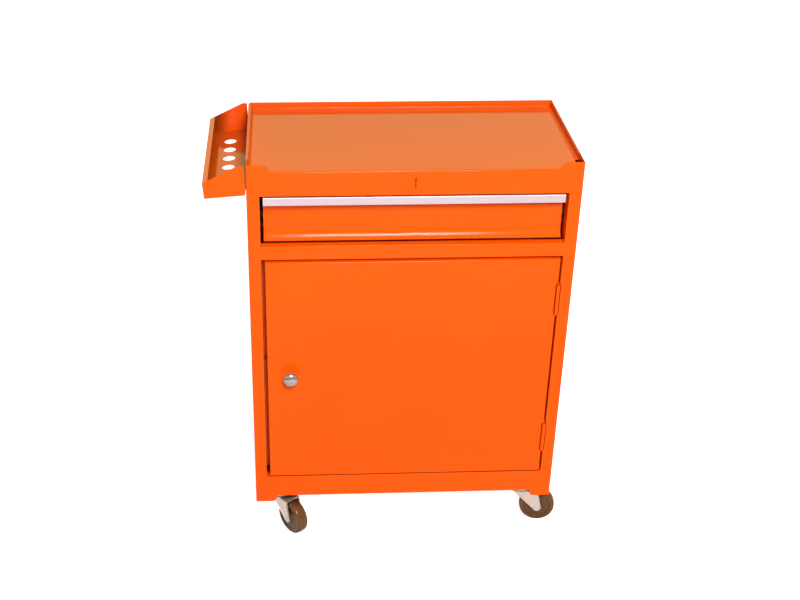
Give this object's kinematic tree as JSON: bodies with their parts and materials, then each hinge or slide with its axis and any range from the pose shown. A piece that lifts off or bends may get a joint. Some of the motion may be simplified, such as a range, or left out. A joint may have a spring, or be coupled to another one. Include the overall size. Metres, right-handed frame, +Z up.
{
  "type": "rolling tool cabinet",
  "caption": "Rolling sheet-steel tool cabinet with one drawer over a hinged door, a rimmed top, a hook-on side tray with tool holes and swivel casters.",
  "frame": {"origin": "on the floor under the middle of the body", "axes": "+X to the right, +Y to the back and +Z up, as seen from the front"},
  "size_m": [0.6035, 0.2999, 0.709],
  "materials": {
    "orange_paint": "gloss",
    "aluminium": "satin",
    "chrome": "polished",
    "zinc_steel": "satin",
    "bearing_steel": "polished",
    "wheel_brown": "satin",
    "catch_plastic": "matte"
  },
  "bodies": {
    "cabinet": {"front_frame": "orange_paint", "stile_angle": "orange_paint", "left_side_panel": "orange_paint", "right_side_panel": "orange_paint", "back_panel": "orange_paint", "top_pan": "orange_paint", "bottom_panel": "orange_paint", "cabinet_rail_left": "zinc_steel", "cabinet_rail_right": "zinc_steel", "catch_magnet": "catch_plastic", "lower_hinge_frame_leaf": "orange_paint", "upper_hinge_frame_leaf": "orange_paint", "lower_hinge_pin": "orange_paint", "upper_hinge_pin": "orange_paint", "caster_bolts": "zinc_steel", "caster_nuts": "zinc_steel", "front_left_caster_plate": "zinc_steel", "front_left_caster_kingpin": "zinc_steel", "front_right_caster_plate": "zinc_steel", "front_right_caster_kingpin": "zinc_steel", "rear_left_caster_plate": "zinc_steel", "rear_left_caster_kingpin": "zinc_steel", "rear_right_caster_plate": "zinc_steel", "rear_right_caster_kingpin": "zinc_steel"},
    "drawer": {"drawer_front": "orange_paint", "drawer_pull": "aluminium", "drawer_box": "orange_paint", "drawer_rail_left": "zinc_steel", "drawer_rail_right": "zinc_steel"},
    "door": {"door_panel": "orange_paint", "door_knob": "chrome", "knob_screw": "zinc_steel", "catch_striker": "zinc_steel", "lower_hinge_door_leaf": "orange_paint", "upper_hinge_door_leaf": "orange_paint"},
    "side_tray": {"tray_shell": "orange_paint", "tray_end_front": "orange_paint", "tray_end_back": "orange_paint"},
    "front_left_swivel": {"front_left_caster_fork": "zinc_steel", "front_left_caster_axle": "zinc_steel", "front_left_caster_balls": "bearing_steel"},
    "front_left_roller": {"front_left_caster_wheel": "wheel_brown", "front_left_caster_bush": "zinc_steel"},
    "front_right_swivel": {"front_right_caster_fork": "zinc_steel", "front_right_caster_axle": "zinc_steel", "front_right_caster_balls": "bearing_steel"},
    "front_right_roller": {"front_right_caster_wheel": "wheel_brown", "front_right_caster_bush": "zinc_steel"},
    "rear_left_swivel": {"rear_left_caster_fork": "zinc_steel", "rear_left_caster_axle": "zinc_steel", "rear_left_caster_balls": "bearing_steel"},
    "rear_left_roller": {"rear_left_caster_wheel": "wheel_brown", "rear_left_caster_bush": "zinc_steel"},
    "rear_right_swivel": {"rear_right_caster_fork": "zinc_steel", "rear_right_caster_axle": "zinc_steel", "rear_right_caster_balls": "bearing_steel"},
    "rear_right_roller": {"rear_right_caster_wheel": "wheel_brown", "rear_right_caster_bush": "zinc_steel"}
  },
  "joints": [
    {"name": "drawer_slide", "type": "slide", "parent": "cabinet", "child": "drawer", "axis": [0, -1, 0], "range_m": [0, 0.18]},
    {"name": "door_hinge", "type": "hinge", "parent": "cabinet", "child": "door", "pos_m": [0.2375, -0.136, 0.3], "axis": [0, 0, 1], "range_deg": [0, 170]},
    {"name": "tray_lift", "type": "slide", "parent": "cabinet", "child": "side_tray", "axis": [0, 0, 1], "range_m": [0, 0.08]},
    {"name": "front_left_swivel_turn", "type": "hinge", "parent": "cabinet", "child": "front_left_swivel", "pos_m": [-0.214, -0.106, 0.08], "axis": [0, 0, 1], "continuous": true},
    {"name": "front_left_wheel_spin", "type": "hinge", "parent": "front_left_swivel", "child": "front_left_roller", "pos_m": [-0.19534, -0.13076, 0.03175], "axis": [0.7986, 0.6018, 0], "continuous": true},
    {"name": "front_right_swivel_turn", "type": "hinge", "parent": "cabinet", "child": "front_right_swivel", "pos_m": [0.214, -0.106, 0.08], "axis": [0, 0, 1], "continuous": true},
    {"name": "front_right_wheel_spin", "type": "hinge", "parent": "front_right_swivel", "child": "front_right_roller", "pos_m": [0.2447, -0.11031, 0.03175], "axis": [0.1392, 0.9903, 0], "continuous": true},
    {"name": "rear_left_swivel_turn", "type": "hinge", "parent": "cabinet", "child": "rear_left_swivel", "pos_m": [-0.214, 0.106, 0.08], "axis": [0, 0, 1], "continuous": true},
    {"name": "rear_left_wheel_spin", "type": "hinge", "parent": "rear_left_swivel", "child": "rear_left_roller", "pos_m": [-0.18568, 0.11861, 0.03175], "axis": [-0.4067, 0.9135, 0], "continuous": true},
    {"name": "rear_right_swivel_turn", "type": "hinge", "parent": "cabinet", "child": "rear_right_swivel", "pos_m": [0.214, 0.106, 0.08], "axis": [0, 0, 1], "continuous": true},
    {"name": "rear_right_wheel_spin", "type": "hinge", "parent": "rear_right_swivel", "child": "rear_right_roller", "pos_m": [0.23843, 0.08691, 0.03175], "axis": [0.6157, 0.788, 0], "continuous": true}
  ]
}
